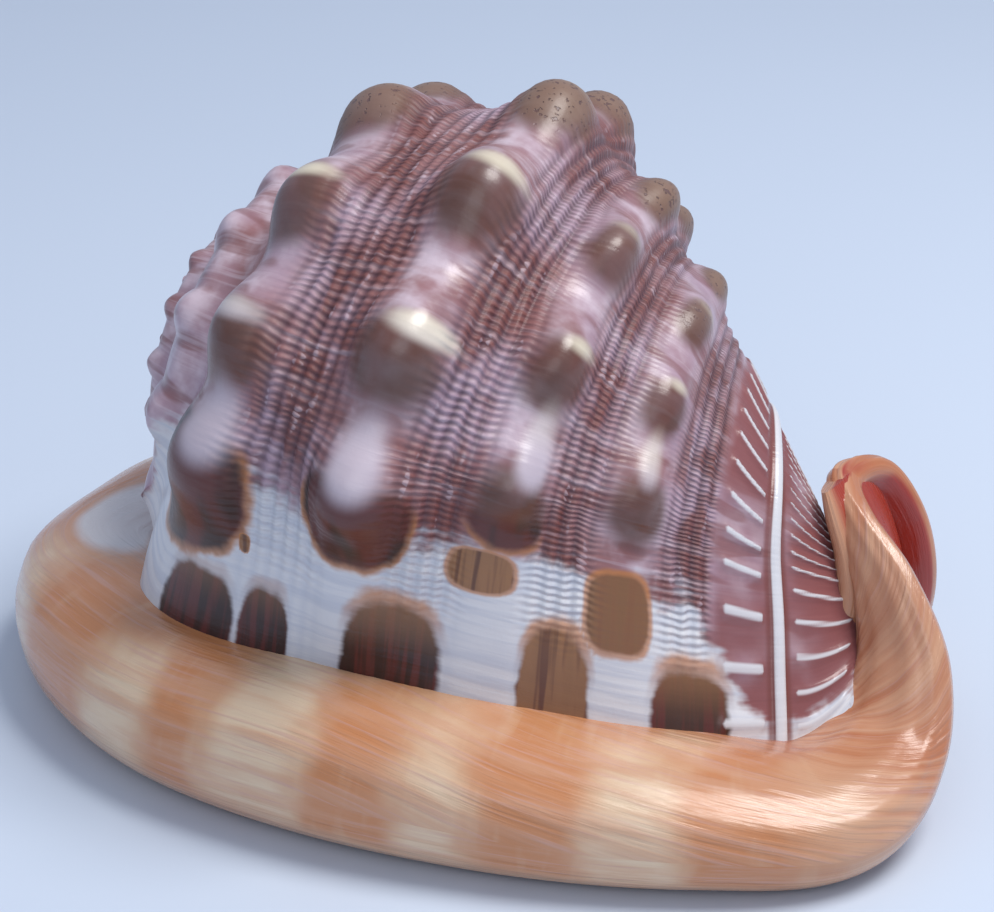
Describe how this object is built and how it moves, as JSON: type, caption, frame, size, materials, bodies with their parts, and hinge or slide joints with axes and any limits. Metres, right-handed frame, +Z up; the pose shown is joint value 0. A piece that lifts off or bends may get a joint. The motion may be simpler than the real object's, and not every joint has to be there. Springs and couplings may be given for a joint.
{
  "type": "bullmouth helmet shell",
  "caption": "Heavy domed sea-snail shell with rows of blunt knobs, a thick rolled lip, a toothed slot-shaped opening underneath and an upturned canal.",
  "frame": {"origin": "on the resting plane, under the middle of the shell's bounding box", "axes": "+X along the shell toward the siphonal canal, -Y toward the thick outer lip, +Z up from the opening side to the knobbed back"},
  "size_m": [0.1522, 0.1184, 0.0933],
  "materials": {
    "helmet_shell": "smooth natural shell, semi-gloss on the back, glossy on the lip"
  },
  "bodies": {
    "root": {"helmet_shell": "helmet_shell"}
  },
  "joints": []
}
